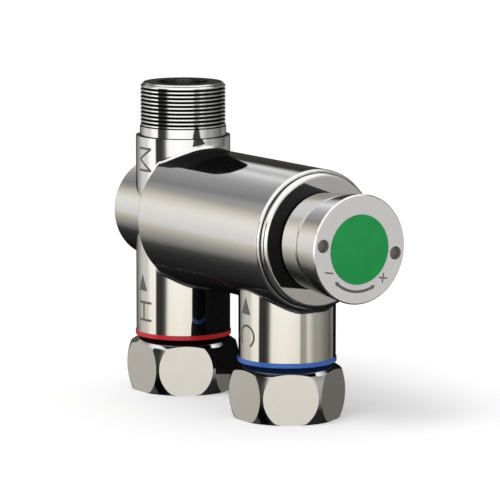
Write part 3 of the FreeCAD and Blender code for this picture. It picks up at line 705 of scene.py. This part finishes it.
def plate(outline, thickness):
    # A flat plate with this outline in X and Y, and its underside at Z = 0
    shape = bmesh.new()
    face = shape.faces.new([shape.verts.new((across, up, 0)) for across, up in outline])
    face.normal_update()
    bmesh.ops.triangulate(shape, faces=[face])
    grown = bmesh.ops.extrude_face_region(shape, geom=shape.faces[:])["geom"]
    raised = [item for item in grown if isinstance(item, bmesh.types.BMVert)]
    bmesh.ops.translate(shape, verts=raised, vec=(0, 0, thickness))
    bmesh.ops.recalc_face_normals(shape, faces=shape.faces[:])
    return shape


def sliceAlong(shape, step):
    # Cuts upright lines into a plate, so that it can bend round a tube
    reach = max(abs(corner.co.x) for corner in shape.verts)
    count = int(reach / step)
    for index in range(-count, count + 1):
        everything = shape.verts[:] + shape.edges[:] + shape.faces[:]
        bmesh.ops.bisect_plane(shape, geom=everything, plane_co=(index * step, 0, 0),
                               plane_no=(1, 0, 0), dist=1e-7)


def onCircle(centre, radius, degrees):
    angle = math.radians(degrees)
    return centre[0] + radius * math.cos(angle), centre[1] + radius * math.sin(angle)


def arcPoints(centre, radius, start, end, steps):
    return [onCircle(centre, radius, start + (end - start) * index / steps) for index in range(steps + 1)]


tubeMarks = {
    "stroke": 0.75 * mm,
    "thickness": 0.06 * mm,
    "proud": 0.02 * mm,
    "slice": 0.5 * mm,
    "ringStand": 0.25 * mm,       # how far a marker ring stands out from its tube
    "letterFoot": -2.3 * mm,      # places round the tube, to the right of its front
    "letterTop": 3.75 * mm,
    "outletLetterLow": 69.6 * mm,
    "outletLetterHigh": 76.4 * mm,
    "diagonalDepth": 1.35 * mm,
    "hotLetterLow": 22.7 * mm,
    "hotLetterHigh": 28.2 * mm,
    "crossbar": 0.15 * mm,
    "coldLetterAt": (0.1 * mm, 25.8 * mm),
    "coldLetterRadius": 3.6 * mm,
    "coldLetterGap": (-136, -62),
    "outerSteps": 40,
    "innerSteps": 32,
    "hotArrow": (31.8 * mm, 37.1 * mm),
    "coldArrow": (32.4 * mm, 37.7 * mm),
    "arrowFoot": (-2.9 * mm, 1.9 * mm),
}
tubeRadius = halfWidth("hot_marker_ring") - tubeMarks["ringStand"]


def wrapOnTube(name, outline, tubeX):
    shape = plate(outline, tubeMarks["thickness"])
    sliceAlong(shape, tubeMarks["slice"])
    for corner in shape.verts:
        bend = corner.co.x / tubeRadius
        reach = tubeRadius + tubeMarks["proud"] - tubeMarks["thickness"] + corner.co.z
        corner.co = Vector((tubeX + reach * math.sin(bend), -reach * math.cos(bend), corner.co.y))
    bmesh.ops.recalc_face_normals(shape, faces=shape.faces[:])
    mark = meshObject(name, shape, darkPaint)
    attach(mark, "valve")


def lyingLetter(points, low, high):
    # A letter drawn upright, laid on its side: its foot at the left and its width down the tube
    width = high - low
    return [(tubeMarks["letterFoot"] + up, low + width - across) for across, up in points]


def outletLetter():
    low = tubeMarks["outletLetterLow"] - tubeMarks["stroke"] / 2
    high = tubeMarks["outletLetterHigh"] + tubeMarks["stroke"] / 2
    width, stroke, depth = high - low, tubeMarks["stroke"], tubeMarks["diagonalDepth"]
    tall = tubeMarks["letterTop"] - tubeMarks["letterFoot"]
    points = [(0, 0), (0, tall), (stroke, tall), (width / 2, depth), (width - stroke, tall), (width, tall),
              (width, 0), (width - stroke, 0), (width - stroke, tall - depth), (width / 2, 0),
              (stroke, tall - depth), (stroke, 0)]
    wrapOnTube("outletLetter", lyingLetter(points, low, high), hotTube)


def hotLetter():
    stroke = tubeMarks["stroke"]
    low = tubeMarks["hotLetterLow"] - stroke / 2
    high = tubeMarks["hotLetterHigh"] + stroke / 2
    width = high - low
    tall = tubeMarks["letterTop"] - tubeMarks["letterFoot"]
    bar = tubeMarks["crossbar"] - tubeMarks["letterFoot"]
    half = stroke / 2
    points = [(0, 0), (0, tall), (stroke, tall), (stroke, bar + half), (width - stroke, bar + half),
              (width - stroke, tall), (width, tall), (width, 0), (width - stroke, 0),
              (width - stroke, bar - half), (stroke, bar - half), (stroke, 0)]
    wrapOnTube("hotLetter", lyingLetter(points, low, high), hotTube)


def coldLetter():
    start, end = tubeMarks["coldLetterGap"][1], tubeMarks["coldLetterGap"][0] + 360
    centre, outer = tubeMarks["coldLetterAt"], tubeMarks["coldLetterRadius"]
    points = arcPoints(centre, outer, start, end, tubeMarks["outerSteps"])
    points += arcPoints(centre, outer - tubeMarks["stroke"], end, start, tubeMarks["innerSteps"])
    wrapOnTube("coldLetter", points, coldTube)


def flowArrow(name, low, high, tubeX):
    left, right = tubeMarks["arrowFoot"]
    wrapOnTube(name, [(left, low), (right, low), ((left + right) / 2, high)], tubeX)


outletLetter()
hotLetter()
coldLetter()
flowArrow("hotFlowArrow", *tubeMarks["hotArrow"], hotTube)
flowArrow("coldFlowArrow", *tubeMarks["coldArrow"], coldTube)

knobMarks = {
    "turned": -9,            # degrees, as the knob stands in the photograph
    "radius": 12.4 * mm,
    "signAngle": 52,         # degrees each side of straight down
    "signLength": 3.0 * mm,
    "signWidth": 0.45 * mm,
    "arrowAngle": 36,
    "arrowWidth": 0.85 * mm,
    "headAngle": 6,
    "headWidth": 1.6 * mm,
    "arcSteps": 24,
    "thickness": 0.05 * mm,
    "proud": 0.015 * mm,
}


def layOnKnob(name, outline):
    shape = plate(outline, knobMarks["thickness"])
    turn = math.radians(knobMarks["turned"])
    start = knobFront + knobMarks["proud"] - knobMarks["thickness"]
    for corner in shape.verts:
        y = corner.co.x * math.cos(turn) - corner.co.y * math.sin(turn)
        z = corner.co.x * math.sin(turn) + corner.co.y * math.cos(turn)
        corner.co = Vector((start + corner.co.z, y, barrelAxis + z))
    bmesh.ops.recalc_face_normals(shape, faces=shape.faces[:])
    mark = meshObject(name, shape, darkPaint)
    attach(mark, "knob")


def signPlace(side):
    return onCircle((0, 0), knobMarks["radius"], -90 + side * knobMarks["signAngle"])


def minusSign():
    across, up = signPlace(-1)
    long, thin = knobMarks["signLength"] / 2, knobMarks["signWidth"] / 2
    layOnKnob("minusSign", [(across - long, up - thin), (across + long, up - thin),
                            (across + long, up + thin), (across - long, up + thin)])


def plusSign():
    across, up = signPlace(1)
    long, thin = knobMarks["signLength"] / 2, knobMarks["signWidth"] / 2
    corner = [(long, -thin), (long, thin), (thin, thin)]
    points = []
    for quarter in range(4):
        turn = math.radians(90 * quarter)
        for x, y in corner:
            points.append((across + x * math.cos(turn) - y * math.sin(turn),
                           up + x * math.sin(turn) + y * math.cos(turn)))
    layOnKnob("plusSign", points)


def turnArrow():
    # One curved band with a head at each end
    radius, half, wide = knobMarks["radius"], knobMarks["arrowWidth"] / 2, knobMarks["headWidth"] / 2
    centre, steps = (0, 0), knobMarks["arcSteps"]
    tip, neck = knobMarks["arrowAngle"], knobMarks["arrowAngle"] - knobMarks["headAngle"]
    points = []
    for side in (1, -1):
        band = radius + side * half
        points += arcPoints(centre, band, -90 - side * neck, -90 + side * neck, steps)
        points.append(onCircle(centre, radius + side * wide, -90 + side * neck))
        points.append(onCircle(centre, radius, -90 + side * tip))
        points.append(onCircle(centre, radius - side * wide, -90 + side * neck))
    layOnKnob("turnArrow", points)


minusSign()
plusSign()
turnArrow()
print("marks painted")

bpy.context.scene.view_settings.view_transform = "Standard"
